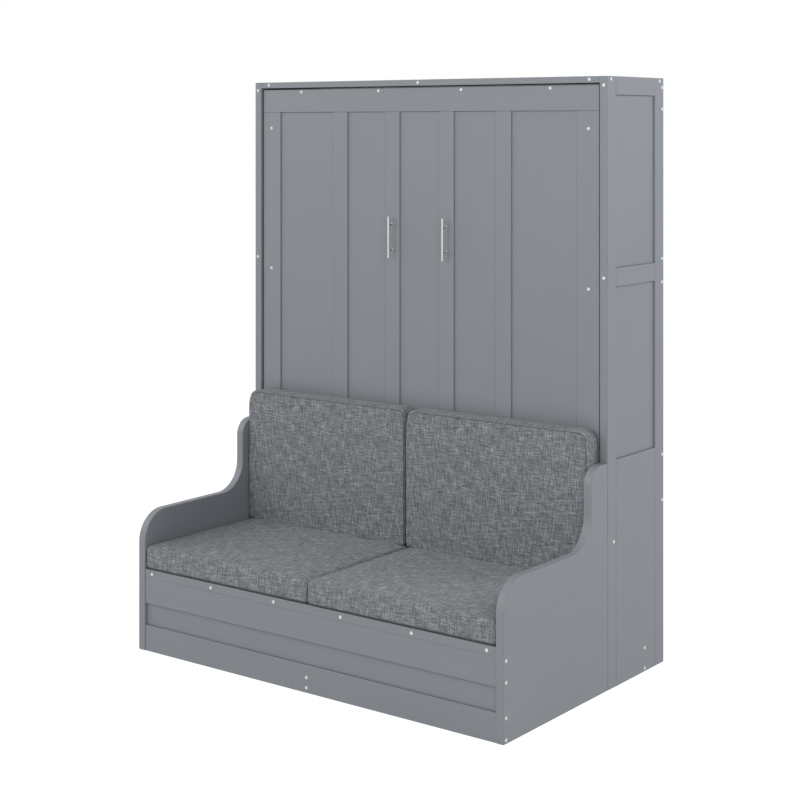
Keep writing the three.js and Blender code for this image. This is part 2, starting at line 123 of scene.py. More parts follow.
class CushionSettings(bpy.types.PropertyGroup):
    cloth_colour: FloatVectorProperty(
        name="Cloth colour",
        description="Middle colour of the melange cloth",
        default=linear("#818489"),
        subtype="COLOR",
    )
    seat_edge: FloatProperty(
        name="Seat edge",
        description="Radius of the seat cushions' upper edges",
        default=0.017,
        unit="LENGTH",
    )
    seat_corner: FloatProperty(
        name="Seat corner",
        description="Radius of the seat cushions' upright corners and lower edges",
        default=0.012,
        unit="LENGTH",
    )
    seam_edge: FloatProperty(
        name="Seam edge",
        description="Radius of an edge that carries a seam",
        default=0.004,
        unit="LENGTH",
    )
    rear_edge: FloatProperty(
        name="Rear edge",
        description="Radius of the back cushions' rear edges",
        default=0.006,
        unit="LENGTH",
    )
    rear_corner: FloatProperty(
        name="Rear corner",
        description="Radius of the back cushions' corners at their rear, seen from the front",
        default=0.045,
        unit="LENGTH",
    )
    front_drop: FloatProperty(
        name="Front drop",
        description="How much lower the back cushions' front panel is than the strip behind it",
        default=0.006,
        unit="LENGTH",
    )
    flare: FloatProperty(
        name="Flare",
        description="How much further out each side of a back cushion is at its rear",
        default=0.004,
        unit="LENGTH",
    )
    corner_tuck: FloatProperty(
        name="Corner tuck",
        description="How far the sewn corners of the back cushions' front panel are drawn in",
        default=0.009,
        unit="LENGTH",
    )
    cell: FloatProperty(
        name="Cell",
        description="Size of the cells that the cloth is simulated with",
        default=0.012,
        unit="LENGTH",
    )
    pressure: FloatProperty(
        name="Pressure",
        description="Pressure of the filling on the cloth",
        default=4.0,
    )
    give: FloatProperty(
        name="Give",
        description="Share of the simulated swelling that the foam inside allows",
        default=0.22,
    )
    pull: FloatProperty(
        name="Pull",
        description="Share of that at which the foam lets its sides be drawn in",
        default=0.2,
    )
    frames: IntProperty(
        name="Frames",
        description="How many frames the cloth is simulated for",
        default=20,
    )
    seam_depth: FloatProperty(
        name="Seam depth",
        description="How far a seam is drawn in",
        default=0.0012,
        unit="LENGTH",
    )


class StageSettings(bpy.types.PropertyGroup):
    lens: FloatProperty(
        name="Lens",
        description="Focal length on a sensor 36 mm wide",
        default=76.11,
        unit="CAMERA",
    )
    key_strength: FloatProperty(
        name="Key lamp",
        description="Power of the large lamp in front on the left",
        default=63.0,
        unit="POWER",
    )
    front_strength: FloatProperty(
        name="Front lamp",
        description="Power of the large lamp straight in front",
        default=30.0,
        unit="POWER",
    )
    left_strength: FloatProperty(
        name="Left lamp",
        description="Power of the lamp beside the cabinet on the left",
        default=77.0,
        unit="POWER",
    )
    side_strength: FloatProperty(
        name="Side lamp",
        description="Power of the large lamp behind the cabinet on the right",
        default=38.0,
        unit="POWER",
    )
    high_strength: FloatProperty(
        name="High lamp",
        description="Power of the near lamp that lights the top of the right side",
        default=24.0,
        unit="POWER",
    )
    corner_strength: FloatProperty(
        name="Corner lamp",
        description="Power of the near lamp at the front corner on the right",
        default=32.0,
        unit="POWER",
    )
    world_strength: FloatProperty(
        name="World",
        description="Strength of the light that comes from all round",
        default=0.37,
    )


def settings():
    """The scene's settings for this wall bed."""
    return bpy.context.scene.wall_bed


class WallBedSettings(bpy.types.PropertyGroup):
    paint: PointerProperty(
        name="Paint", description="Lacquered boards of the cabinet, the bed and the sofa", type=PaintSettings
    )
    hardware: PointerProperty(
        name="Hardware", description="Plastic caps over the screws", type=HardwareSettings
    )
    cushion: PointerProperty(
        name="Cushions", description="Seat and back cushions and their cloth", type=CushionSettings
    )
    stage: PointerProperty(
        name="Stage", description="Lamps, world and camera of the white studio", type=StageSettings
    )


# Modelling tools


def deselect_all():
    for piece in list(bpy.context.selected_objects):
        piece.select_set(False)


def activate(piece):
    deselect_all()
    piece.select_set(True)
    bpy.context.view_layer.objects.active = piece


def apply_place(piece):
    """Puts the object's place, turn and size into its mesh."""
    activate(piece)
    bpy.ops.object.transform_apply(location=True, rotation=True, scale=True)


def apply_modifier(piece, kind, **values):
    """Adds a modifier, sets it up and applies it."""
    activate(piece)
    bpy.ops.object.modifier_add(type=kind)
    modifier = piece.modifiers[-1]
    for name, value in values.items():
        setattr(modifier, name, value)
    bpy.ops.object.modifier_apply(modifier=modifier.name)


def start_box(name, low, high):
    """A cube primitive at its size and place."""
    deselect_all()
    low, high = Vector(low), Vector(high)
    bpy.ops.mesh.primitive_cube_add(size=1, location=(low + high) / 2, scale=high - low)
    piece = bpy.context.active_object
    piece.name = name
    apply_place(piece)
    return piece


def start_bar(name, start, end, radius, sides=32):
    """A cylinder primitive between two points."""
    deselect_all()
    start, end = Vector(start), Vector(end)
    turn = (end - start).to_track_quat("Z", "Y").to_euler()
    bpy.ops.mesh.primitive_cylinder_add(
        vertices=sides,
        radius=radius,
        depth=(end - start).length,
        location=(start + end) / 2,
        rotation=turn,
    )
    piece = bpy.context.active_object
    piece.name = name
    apply_place(piece)
    return piece


def start_copy(name, node):
    """A copy of a CAD node's mesh with its doubles merged and its flat faces made whole."""
    piece = bpy.data.objects.new(name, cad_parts[node].data.copy())
    bpy.context.scene.collection.objects.link(piece)
    activate(piece)
    bpy.ops.object.mode_set(mode="EDIT")
    bpy.ops.mesh.select_all(action="SELECT")
    bpy.ops.mesh.remove_doubles(threshold=SAME_PLACE)
    bpy.ops.mesh.dissolve_limited(angle_limit=math.radians(1))
    bpy.ops.object.mode_set(mode="OBJECT")
    return piece


def ease(piece, width, segments=3, angle=40):
    """Rounds the sharp edges, then shades the rounding smooth and the flats flat."""
    activate(piece)
    bpy.ops.object.shade_smooth_by_angle(angle=SMOOTH_ANGLE)
    apply_modifier(
        piece,
        "BEVEL",
        width=width,
        segments=segments,
        limit_method="ANGLE",
        angle_limit=math.radians(angle),
        miter_outer="MITER_ARC",
    )
    activate(piece)
    bpy.ops.object.shade_smooth_by_angle(angle=SMOOTH_ANGLE)
    apply_modifier(piece, "WEIGHTED_NORMAL", keep_sharp=True)
    return piece


def join(name, pieces):
    """Joins pieces into one object."""
    activate(pieces[0])
    for piece in pieces[1:]:
        piece.select_set(True)
    bpy.ops.object.join()
    whole = bpy.context.active_object
    whole.name = name
    return whole


def move(piece, offset):
    """Moves a piece's mesh."""
    piece.data.transform(Matrix.Translation(offset))
    return piece


def twin(piece, name, offset):
    """A copy of a piece with its own mesh, moved to its place."""
    other = piece.copy()
    other.data = piece.data.copy()
    other.name = name
    bpy.context.scene.collection.objects.link(other)
    return move(other, offset)


def paint_piece(piece, material):
    piece.data.materials.clear()
    piece.data.materials.append(material)


def dress(piece, material, slot, body, *nodes):
    """Gives a piece its material and body, and hides the CAD nodes that it stands for. Its slot is not used.
    """
    paint_piece(piece, material)
    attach(piece, body)
    if nodes:
        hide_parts(*nodes)
    return piece


# Materials


def add_node(tree, kind, options=None, values=None, links=None):
    """Adds a node with its options, its sockets' values and what its sockets take from other nodes."""
    node = tree.nodes.new(kind)
    for name, value in (options or {}).items():
        setattr(node, name, value)
    for name, value in (values or {}).items():
        node.inputs[name].default_value = value
    for name, source in (links or {}).items():
        tree.links.new(source, node.inputs[name])
    return node


def new_material(name, roughness, **values):
    """A material with a Principled shader, and its tree and shader."""
    material = bpy.data.materials.new(name)
    material.use_nodes = True
    tree = material.node_tree
    shader = tree.nodes["Principled BSDF"]
    shader.inputs["Roughness"].default_value = roughness
    for socket, value in values.items():
        shader.inputs[socket.replace("_", " ")].default_value = value
    return material, tree, shader


def set_ramp(node, stops):
    """Colour stops of a ramp, as (place, colour)."""
    ramp = node.color_ramp
    ramp.elements[0].position, ramp.elements[0].color = stops[0][0], opaque(stops[0][1])
    ramp.elements[1].position, ramp.elements[1].color = stops[-1][0], opaque(stops[-1][1])
    for place, colour in stops[1:-1]:
        ramp.elements.new(place).color = opaque(colour)


def finish_surface(tree, shader, pattern, stops, strength, depth, relief=None):
    """Colours a shader by a pattern through a ramp, and lets that pattern, or another one, stand out by a
    depth in metres. Gives back the ramp's colour."""
    ramp = add_node(tree, "ShaderNodeValToRGB", links={"Fac": pattern})
    set_ramp(ramp, stops)
    tree.links.new(ramp.outputs["Color"], shader.inputs["Base Color"])
    bump = add_node(
        tree,
        "ShaderNodeBump",
        values={"Strength": strength, "Distance": depth},
        links={"Height": pattern if relief is None else relief},
    )
    tree.links.new(bump.outputs["Normal"], shader.inputs["Normal"])
    return ramp.outputs["Color"]


def shade_of(colour, share):
    """A linear colour made lighter or darker by a share."""
    return tuple(value * share for value in colour[:3])


def along_axis(axis, width, length):
    """The sizes along x, y and z of a grain that runs along one axis."""
    return tuple(length if i == axis else width for i in range(3))


def spread_noise(tree, sizes, **look):
    """Noise over the piece, its spots as large as the sizes in metres along x, y and z."""
    place = add_node(tree, "ShaderNodeTexCoord").outputs["Object"]
    scale = tuple(1 / size for size in sizes)
    spread = add_node(tree, "ShaderNodeMapping", values={"Scale": scale}, links={"Vector": place})
    place = spread.outputs["Vector"]
    return add_node(tree, "ShaderNodeTexNoise", values={"Scale": 1.0, **look}, links={"Vector": place})


def grained_paint(name, colour, axis, grain=0.035):
    """Satin lacquer sprayed on sanded pine: flat colour in which the grain still stands a little.
    The pores are 2.5 mm wide and 160 mm long, coarser than real ones so that they show."""
    material, tree, shader = new_material(name, 0.46, IOR=1.46)
    pores = spread_noise(tree, along_axis(axis, width=0.0025, length=0.16), Detail=3.0, Roughness=0.6)
    bands = spread_noise(tree, along_axis(axis, width=0.022, length=0.5), Detail=2.0, Distortion=0.4)
    both = add_node(
        tree,
        "ShaderNodeMix",
        {"data_type": "FLOAT"},
        {"Factor": 0.45},
        {"A": pores.outputs["Fac"], "B": bands.outputs["Fac"]},
    )
    stops = [(0.3, shade_of(colour, 1 - grain)), (0.7, shade_of(colour, 1 + grain))]
    finish_surface(tree, shader, both.outputs["Result"], stops, strength=0.15, depth=0.0002)
    gloss = add_node(
        tree,
        "ShaderNodeMapRange",
        values={"To Min": 0.42, "To Max": 0.5},
        links={"Value": bands.outputs["Fac"]},
    )
    tree.links.new(gloss.outputs["Result"], shader.inputs["Roughness"])
    return material


def panel_paint(name, colour):
    """Satin lacquer sprayed on fibreboard: no grain, and the spray's fine orange peel, 3 mm wide."""
    material, tree, shader = new_material(name, 0.48, IOR=1.46)
    place = add_node(tree, "ShaderNodeTexCoord").outputs["Object"]
    cloud = add_node(
        tree, "ShaderNodeTexNoise", values={"Scale": 3.0, "Detail": 2.0}, links={"Vector": place}
    )
    peel = add_node(
        tree, "ShaderNodeTexNoise", values={"Scale": 1 / 0.003, "Detail": 1.0}, links={"Vector": place}
    )
    stops = [(0.3, shade_of(colour, 0.985)), (0.7, shade_of(colour, 1.015))]
    peel = peel.outputs["Fac"]
    finish_surface(tree, shader, cloud.outputs["Fac"], stops, strength=0.12, depth=0.0002, relief=peel)
    return material


def planed_pine(name, axis):
    """Planed pine, unpainted: pale sapwood with darker summer bands about 9 mm apart."""
    material, tree, shader = new_material(name, 0.62)
    bands = spread_noise(tree, along_axis(axis, width=0.009, length=0.35), Detail=4.0, Distortion=1.2)
    stops = [(0.32, linear("#b8905c")), (0.5, linear("#d8b98a")), (0.68, linear("#e2cba3"))]
    finish_surface(tree, shader, bands.outputs["Fac"], stops, strength=0.3, depth=0.0003)
    return material


def coated_metal(name, colour, roughness, metallic, spot, depth):
    """A metal surface with fine relief: what the eye gets is its broken highlight.
    spot is the relief's size in metres along x, y and z, long on one axis for a brushed surface."""
    material, tree, shader = new_material(name, roughness, Metallic=metallic)
    grit = spread_noise(tree, spot, Detail=2.0)
    stops = [(0.25, shade_of(colour, 0.88)), (0.75, shade_of(colour, 1.06))]
    finish_surface(tree, shader, grit.outputs["Fac"], stops, strength=0.3, depth=depth)
    return material


def black_coat():
    """Powder coat baked on steel: deep grey-black with an orange peel about 1.5 mm wide."""
    made = bpy.data.materials.get("black_powder_coat")
    if made:
        return made
    peel = (0.0015, 0.0015, 0.0015)
    return coated_metal(
        "black_powder_coat", linear("#2a2c2f"), roughness=0.42, metallic=0.0, spot=peel, depth=0.0001
    )


def moulded_plastic(name, colour, roughness):
    """Injection-moulded polyethylene or rubber: even colour, with a spark-eroded texture of 0.6 mm."""
    material, tree, shader = new_material(name, roughness, IOR=1.5)
    place = add_node(tree, "ShaderNodeTexCoord").outputs["Object"]
    grit = add_node(
        tree, "ShaderNodeTexNoise", values={"Scale": 1 / 0.0006, "Detail": 1.0}, links={"Vector": place}
    )
    stops = [(0.3, shade_of(colour, 0.96)), (0.7, colour)]
    finish_surface(tree, shader, grit.outputs["Fac"], stops, strength=0.15, depth=0.0001)
    return material


def thread_shades(tree, place, axis, width, run):
    """Melange threads side by side, all along one axis of the cloth: each has its own shades, which change
    along its run. Each reads the noise from its own start, far from the others'."""
    starts_apart = 97.0
    parts = add_node(tree, "ShaderNodeSeparateXYZ", links={"Vector": place}).outputs
    count = add_node(tree, "ShaderNodeMath", {"operation": "MULTIPLY"}, {1: 1 / width}, {0: parts[1 - axis]})
    thread = add_node(tree, "ShaderNodeMath", {"operation": "FLOOR"}, links={0: count.outputs[0]})
    start = add_node(
        tree, "ShaderNodeTexWhiteNoise", {"noise_dimensions": "1D"}, links={"W": thread.outputs[0]}
    )
    lengths = add_node(tree, "ShaderNodeMath", {"operation": "MULTIPLY"}, {1: 1 / run}, {0: parts[axis]})
    along = add_node(
        tree,
        "ShaderNodeMath",
        {"operation": "MULTIPLY_ADD"},
        {1: starts_apart},
        {0: start.outputs["Value"], 2: lengths.outputs[0]},
    )
    return add_node(
        tree,
        "ShaderNodeTexNoise",
        {"noise_dimensions": "1D"},
        {"Scale": 1.0, "Detail": 4.0, "Roughness": 0.7},
        {"W": along.outputs[0]},
    )


def melange_cloth(name, colour):
    """Polyester woven like linen from melange yarn: each thread turns lighter and darker along its run,
    in both directions. Real threads are 0.6 mm apart, drawn 1.7 mm wide here so that they show."""
    material, tree, shader = new_material(name, 0.92, IOR=1.45, Sheen_Weight=0.1, Sheen_Roughness=0.5)
    place = add_node(tree, "ShaderNodeUVMap", {"uv_map": "cloth"}).outputs["UV"]
    width, run = 0.0017, 0.07
    threads = [thread_shades(tree, place, axis, width, run) for axis in (0, 1)]
    yarn = add_node(
        tree,
        "ShaderNodeMix",
        {"data_type": "FLOAT"},
        {"Factor": 0.5},
        {"A": threads[0].outputs["Fac"], "B": threads[1].outputs["Fac"]},
    )
    red, green, blue = colour[:3]
    stops = [
        (0.3, shade_of((red * 0.95, green, blue * 1.05), 0.2)),
        (0.5, shade_of(colour, 0.92)),
        (0.7, shade_of((red * 1.02, green, blue * 0.99), 2.5)),
    ]
    woven = finish_surface(tree, shader, yarn.outputs["Result"], stops, strength=0.5, depth=0.0007)
    # Painted shade along the seams: the marked rows are darkened, partly for the stitched line and partly as
    # the shade in the crease that the stitches draw in
    seam = add_node(tree, "ShaderNodeAttribute", {"attribute_name": "seam"})
    seam_shade_share = add_node(
        tree, "ShaderNodeMath", {"operation": "MULTIPLY"}, {1: 0.8}, {0: seam.outputs["Fac"]}
    )
    darker = add_node(
        tree,
        "ShaderNodeMix",
        {"data_type": "RGBA"},
        {"B": opaque(shade_of(colour, 0.3))},
        {"Factor": seam_shade_share.outputs[0], "A": woven},
    )
    tree.links.new(darker.outputs["Result"], shader.inputs["Base Color"])
    return material


def woven_strap(name):
    """Woven polypropylene webbing: black, with its ribs 1.2 mm apart along the strap. At a scale of 1 the
    pattern's bands are 2 pi / 20 apart."""
    material, tree, shader = new_material(name, 0.7)
    rib_spacing = 0.0012
    place = add_node(tree, "ShaderNodeTexCoord").outputs["Object"]
    ribs = add_node(
        tree,
        "ShaderNodeTexWave",
        {"bands_direction": "Z"},
        {"Scale": 2 * math.pi / rib_spacing / 20, "Distortion": 0.5},
        {"Vector": place},
    )
    stops = [(0.2, linear("#18191a")), (0.8, linear("#333537"))]
    finish_surface(tree, shader, ribs.outputs["Fac"], stops, strength=0.5, depth=0.0003)
    return material


# Boards

BOARDS = {
    "cabinet": [
        *(
            f"side_{part}_{side}"
            for side in SIDES
            for part in (
                "front_stile",
                "back_stile",
                "top_rail",
                "mid_rail",
                "upper_panel",
                "middle_panel",
                "lower_panel",
            )
        ),
        "top_board",
        "back_rail_top",
        "back_rail_middle",
        "back_rail_low",
        "base_rail",
        "seat_base_board",
        "seat_recess_board",
        "seat_front_board",
        "seat_edge_strip",
        "seat_deck",
    ],
    "bed": [
        "face_top_rail",
        "face_bottom_rail",
        "face_panel",
        *(f"face_{part}_{side}" for side in SIDES for part in ("stile", "batten_inner", "batten_outer")),
        "bed_head_rail",
        "bed_foot_rail",
    ],
}
PANELS = ("face_panel", "side_upper_panel", "side_middle_panel", "seat_recess_board")


def longest_axis(node):
    low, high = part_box(node)
    size = high - low
    return max(range(3), key=lambda axis: size[axis])


class WALLBED_OT_boards(bpy.types.Operator):
    """Lacquered boards of the cabinet, the sofa's front and the bed's face, with eased edges"""

    bl_idname = "wallbed.boards"
    bl_label = "Boards"

    def execute(self, context):
        paint = settings().paint
        grained = [
            grained_paint(f"satin_lacquer_on_pine_{axis}", paint.board_colour, i)
            for i, axis in enumerate("xyz")
        ]
        plain = panel_paint("satin_lacquer_on_fibreboard", paint.board_colour)
        for body, nodes in BOARDS.items():
            for node in nodes:
                is_panel = node.startswith(PANELS)
                piece = start_box(f"painted_{node}", *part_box(node))
                is_post = "stile" in node and body == "cabinet"
                ease(piece, paint.post_ease if is_post else paint.board_ease)
                material = plain if is_panel else grained[longest_axis(node)]
                dress(piece, material, "panel_paint" if is_panel else "paint", body, node)
        for side in SIDES:
            arm = start_copy(f"painted_arm_{side}", f"sofa_arm_{side}")
            ease(arm, paint.arm_ease, segments=4)
            dress(arm, grained[1], "paint", "cabinet", f"sofa_arm_{side}")
            rail = start_copy(f"painted_bed_rail_{side}", f"bed_side_rail_{side}")
            ease(rail, paint.board_ease)
            dress(rail, grained[2], "paint", "bed", f"bed_side_rail_{side}")
        return {"FINISHED"}


class WALLBED_OT_bare_wood(bpy.types.Operator):
    """Unpainted pine inside: the board behind the seat, the centre beam, and slats on two straps"""

    bl_idname = "wallbed.bare_wood"
    bl_label = "Bare wood"

    def execute(self, context):
        across = planed_pine("planed_pine_x", 0)
        upright = planed_pine("planed_pine_z", 2)
        rear = ease(start_box("pine_seat_rear_board", *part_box("seat_rear_board")), width=0.001)
        dress(rear, across, "bare_wood", "cabinet", "seat_rear_board")
        beam = ease(start_box("pine_centre_beam", *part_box("bed_centre_beam")), width=0.0015)
        dress(beam, upright, "bare_wood", "bed", "bed_centre_beam")
        self.slats(across)
        return {"FINISHED"}

    def slats(self, material):
        """One slat is modelled and copied up the bed, then two straps that hold them."""
        low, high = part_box("slat_base")
        width, pitch = 0.07, 0.136
        strap_width, strap_thickness, strap_inset = 0.025, 0.0012, 0.24
        count = round((high.z - low.z - width) / pitch) + 1
        top = Vector((high.x, high.y, low.z + width))
        first = ease(start_box("pine_slat", low, top), width=0.002)
        slats = [first]
        slats += [twin(first, "pine_slat", (0, 0, i * pitch)) for i in range(1, count)]
        slats = join("pine_slats", slats)
        dress(slats, material, "bare_wood", "bed", "slat_base")
        webbing = woven_strap("woven_webbing")
        for side, sign in SIDES.items():
            outer = sign * (high.x - strap_inset)
            inner = outer - sign * strap_width
            strap_low = (min(outer, inner), high.y, low.z)
            strap_high = (max(outer, inner), high.y + strap_thickness, high.z)
            strap = ease(start_box(f"slat_strap_{side}", strap_low, strap_high), width=0.0004)
            paint_piece(strap, webbing)
            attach(strap, "bed")


# Screw caps


class WALLBED_OT_screw_caps(bpy.types.Operator):
    """White plastic caps over the screws in the boards' faces and edges"""

    bl_idname = "wallbed.screw_caps"
    bl_label = "Screw caps"

    def cap(self):
        """One domed cap at the origin, facing +Z."""
        hardware = settings().hardware
        radius, height = hardware.cap_diameter / 2, hardware.cap_height
        sunk, shoulder, dome, easing = 0.0005, 0.35, 0.3, 0.6
        cap = start_bar("screw_cap", (0, 0, -sunk), (0, 0, height), radius, sides=24)
        activate(cap)
        bpy.ops.object.mode_set(mode="EDIT")
        bpy.ops.mesh.select_all(action="DESELECT")
        bpy.ops.object.mode_set(mode="OBJECT")
        for face in cap.data.polygons:
            face.select = face.normal.z > 0.9
        bpy.ops.object.mode_set(mode="EDIT")
        bpy.ops.mesh.select_mode(type="FACE")
        bpy.ops.mesh.inset(thickness=radius * shoulder)
        bpy.ops.transform.translate(value=(0, 0, height * dome))
        bpy.ops.object.mode_set(mode="OBJECT")
        return ease(cap, height * easing, segments=2, angle=15)

    def execute(self, context):
        cap = self.cap()
        white = moulded_plastic("moulded_polyethylene_white", settings().hardware.cap_colour, roughness=0.35)
        posts_low, posts_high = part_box("side_front_stile_right")
        front, outer = posts_low.y, posts_high.x
        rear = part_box("side_back_stile_right")[1].y
        face_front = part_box("face_top_rail")[0].y
        strip_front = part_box("seat_edge_strip")[0].y
        base_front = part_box("seat_base_board")[0].y
        arm_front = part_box("sofa_arm_right")[0].y
        forward = Vector((0, -1, 0))
        # The caps' places in metres, as the photograph shows them: x or y, and the height z
        groups = {
            "screw_caps_posts": (
                "cabinet",
                [((s * 0.829, front, z), forward) for s in (-1, 1) for z in (2.167, 1.475)],
            ),
            "screw_caps_top": ("cabinet", [((x, front, 2.1885), forward) for x in (-0.769, 0, 0.769)]),
            "screw_caps_seat_strip": (
                "cabinet",
                [((s * x, strip_front, 0.298), forward) for s in (-1, 1) for x in (0.156, 0.467, 0.7755)],
            ),
            "screw_caps_base": ("cabinet", [((0, base_front, z), forward) for z in (0.055, 0.019)]),
            "screw_caps_face": (
                "bed",
                [((s * x, face_front, 2.159), forward) for s in (-1, 1) for x in (0.1994, 0.5987)]
                + [((s * 0.761, face_front, z), forward) for s in (-1, 1) for z in (2.011, 1.431)],
            ),
        }
        for side, sign in SIDES.items():
            outward = Vector((sign, 0, 0))
            side_places = [
                (front + 0.024, 2.189),
                (front + 0.385, 2.188),
                *((rear - 0.013, z) for z in (2.165, 2.084, 1.521, 1.433, 0.784, 0.612)),
                *((front + 0.27, z) for z in (0.088, 0.013)),
                (front + 0.043, 0.525),
                *((arm_front + 0.013, z) for z in (0.273, 0.202, 0.086, 0.014)),
            ]
            groups[f"screw_caps_side_{side}"] = (
                "cabinet",
                [((sign * outer, y, z), outward) for y, z in side_places],
            )
        for name, (body, places) in groups.items():
            caps = []
            for place, outward in places:
                one = twin(cap, "screw_cap", (0, 0, 0))
                turn = outward.to_track_quat("Z", "Y").to_matrix().to_4x4()
                one.data.transform(Matrix.Translation(place) @ turn)
                caps.append(one)
            whole = join(name, caps)
            paint_piece(whole, white)
            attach(whole, body)
        bpy.data.objects.remove(cap)
        return {"FINISHED"}


# Steel fittings


class WALLBED_OT_handles(bpy.types.Operator):
    """Bar handles: a brushed bar with rounded ends on two posts with collars"""

    bl_idname = "wallbed.handles"
    bl_label = "Handles"

    def execute(self, context):
        # Brushed nickel on steel: a soft grey shine, with hair lines along the bar, 0.3 mm wide
        hair_line = (0.0003, 0.0003, 0.02)
        nickel = coated_metal(
            "brushed_nickel", linear("#c0c1c3"), roughness=0.32, metallic=1.0, spot=hair_line, depth=0.00005
        )
        radius, post_radius, inset = 0.005, 0.004, 0.0335
        collar_radius, collar_depth = 0.0062, 0.0025
        for side in SIDES:
            low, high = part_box(f"handle_{side}")
            x, bar_y = (low.x + high.x) / 2, low.y + radius
            bar = start_bar("bar", (x, bar_y, low.z), (x, bar_y, high.z), radius, sides=48)
            parts = [ease(bar, width=0.0012, segments=4)]
            for z in (low.z + inset, high.z - inset):
                post = start_bar("post", (x, bar_y, z), (x, high.y, z), post_radius)
                collar = start_bar("collar", (x, high.y - collar_depth, z), (x, high.y, z), collar_radius)
                parts += [ease(post, width=0.0004, segments=2), ease(collar, width=0.0008)]
            dress(join(f"bar_handle_{side}", parts), nickel, "satin_steel", "bed", f"handle_{side}")
        return {"FINISHED"}


class WALLBED_OT_pivots(bpy.types.Operator):
    """Bed pivots: flanged pins on the posts and black plates on the bed's side rails"""

    bl_idname = "wallbed.pivots"
    bl_label = "Pivots"

    def execute(self, context):
        # Zinc plate on turned steel: bright grey with a faint mottle
        mottle = (0.003, 0.003, 0.003)
        zinc = coated_metal(
            "zinc_plated_steel", linear("#b4b8bc"), roughness=0.34, metallic=1.0, spot=mottle, depth=0.00004
        )
        black = black_coat()
        flange_depth, pin_radius, overlap = 0.004, 0.008, 0.002
        screw_circle, head_radius, head_height = 0.0122, 0.0026, 0.0011
        for side, sign in SIDES.items():
            node = f"pivot_pin_{side}"
            low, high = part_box(node)
            y, z = (low.y + high.y) / 2, (low.z + high.z) / 2
            inner, outer = (low.x, high.x) if sign > 0 else (high.x, low.x)
            flange_radius = (high.z - low.z) / 2
            flange_face = outer - sign * flange_depth
            flange = start_bar("flange", (flange_face, y, z), (outer, y, z), flange_radius, sides=48)
            pin = start_bar("pin", (inner, y, z), (outer - sign * overlap, y, z), pin_radius, sides=48)
            parts = [ease(flange, width=0.0008), ease(pin, width=0.0006)]
            for angle in (math.radians(30), math.radians(150), math.radians(270)):
                at = Vector((0, math.cos(angle), math.sin(angle))) * screw_circle
                head_at = Vector((flange_face, y, z)) + at
                head_end = head_at - Vector((sign * head_height, 0, 0))
                head = start_bar("screw", head_at, head_end, head_radius, sides=20)
                parts.append(ease(head, width=0.0004, segments=2))
            dress(join(f"pivot_pin_turned_{side}", parts), zinc, "plated_steel", "cabinet", node)
            plate = start_copy(f"pivot_plate_{side}", f"bed_pivot_plate_{side}")
            ease(plate, width=0.0006, segments=2)
            dress(plate, black, "black_steel", "bed", f"bed_pivot_plate_{side}")
        return {"FINISHED"}


class WALLBED_OT_struts(bpy.types.Operator):
    """Gas struts: black tubes, bright rods, their eyes, and the brackets that they hang from"""

    bl_idname = "wallbed.struts"
    bl_label = "Gas struts"

    def execute(self, context):
        black = black_coat()
        # Hard chrome on a ground rod: a mirror with a trace of grinding lines
        grinding = (0.002, 0.002, 0.0004)
        chrome = coated_metal(
            "hard_chrome", linear("#dfe2e4"), roughness=0.12, metallic=1.0, spot=grinding, depth=0.00002
        )
        for side in SIDES:
            bracket = start_copy(f"hanger_{side}", f"strut_bracket_{side}")
            ease(bracket, width=0.0006, segments=2)
            dress(bracket, black, "black_steel", "cabinet", f"strut_bracket_{side}")
            for part, material, slot in (("tube", black, "black_steel"), ("rod", chrome, "satin_steel")):
                node = f"strut_{part}_{side}"
                piece = start_copy(f"gas_{node}", node)
                ease(piece, width=0.0005, segments=2, angle=60)
                dress(piece, material, slot, node, node)
        return {"FINISHED"}


class WALLBED_OT_legs(bpy.types.Operator):
    """Folding legs: flat black bars with a rubber foot each"""

    bl_idname = "wallbed.legs"
    bl_label = "Legs"

    def execute(self, context):
        rubber = moulded_plastic("moulded_rubber_black", linear("#1d1e1f"), roughness=0.75)
        wall, thickness, foot_height = 0.0006, 0.005, 0.022
        for side, sign in SIDES.items():
            node = f"leg_{side}"
            leg = ease(start_copy(f"folding_{node}", node), width=0.001)
            dress(leg, black_coat(), "black_steel", node, node)
            low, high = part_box(node)
            outer = high.x + wall if sign > 0 else low.x - wall
            inner = outer - sign * (thickness + 2 * wall)
            foot_low = (min(outer, inner), low.y - wall, low.z)
            foot_high = (max(outer, inner), high.y + wall, low.z + foot_height)
            foot = ease(start_box(f"leg_foot_{side}", foot_low, foot_high), width=0.0008)
            paint_piece(foot, rubber)
            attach(foot, node)
        return {"FINISHED"}


# Cushions


def cut_across(piece, axis, places):
    """Cuts a mesh by planes across one axis."""
    activate(piece)
    bpy.ops.object.mode_set(mode="EDIT")
    normal = [1.0 if i == axis else 0.0 for i in range(3)]
    for place in places:
        bpy.ops.mesh.select_all(action="SELECT")
        bpy.ops.mesh.bisect(plane_co=[place * n for n in normal], plane_no=normal)
    bpy.ops.object.mode_set(mode="OBJECT")


def round_edges(piece, wanted, radius, segments):
    """Rounds the edges whose two ends pass a test."""
    activate(piece)
    bpy.ops.object.mode_set(mode="EDIT")
    bpy.ops.mesh.select_mode(type="EDGE")
    bpy.ops.mesh.select_all(action="DESELECT")
    bpy.ops.object.mode_set(mode="OBJECT")
    points = piece.data.vertices
    for edge in piece.data.edges:
        start, end = (points[i].co for i in edge.vertices)
        edge.select = wanted(start, end)
    bpy.ops.object.mode_set(mode="EDIT")
    bpy.ops.mesh.bevel(offset=radius, segments=segments, profile=0.5, affect="EDGES")
    bpy.ops.object.mode_set(mode="OBJECT")


def at_level(axis, level):
    """A test for edges that lie in a plane across an axis."""
    return lambda start, end: max(abs(start[axis] - level), abs(end[axis] - level)) < SAME_PLACE


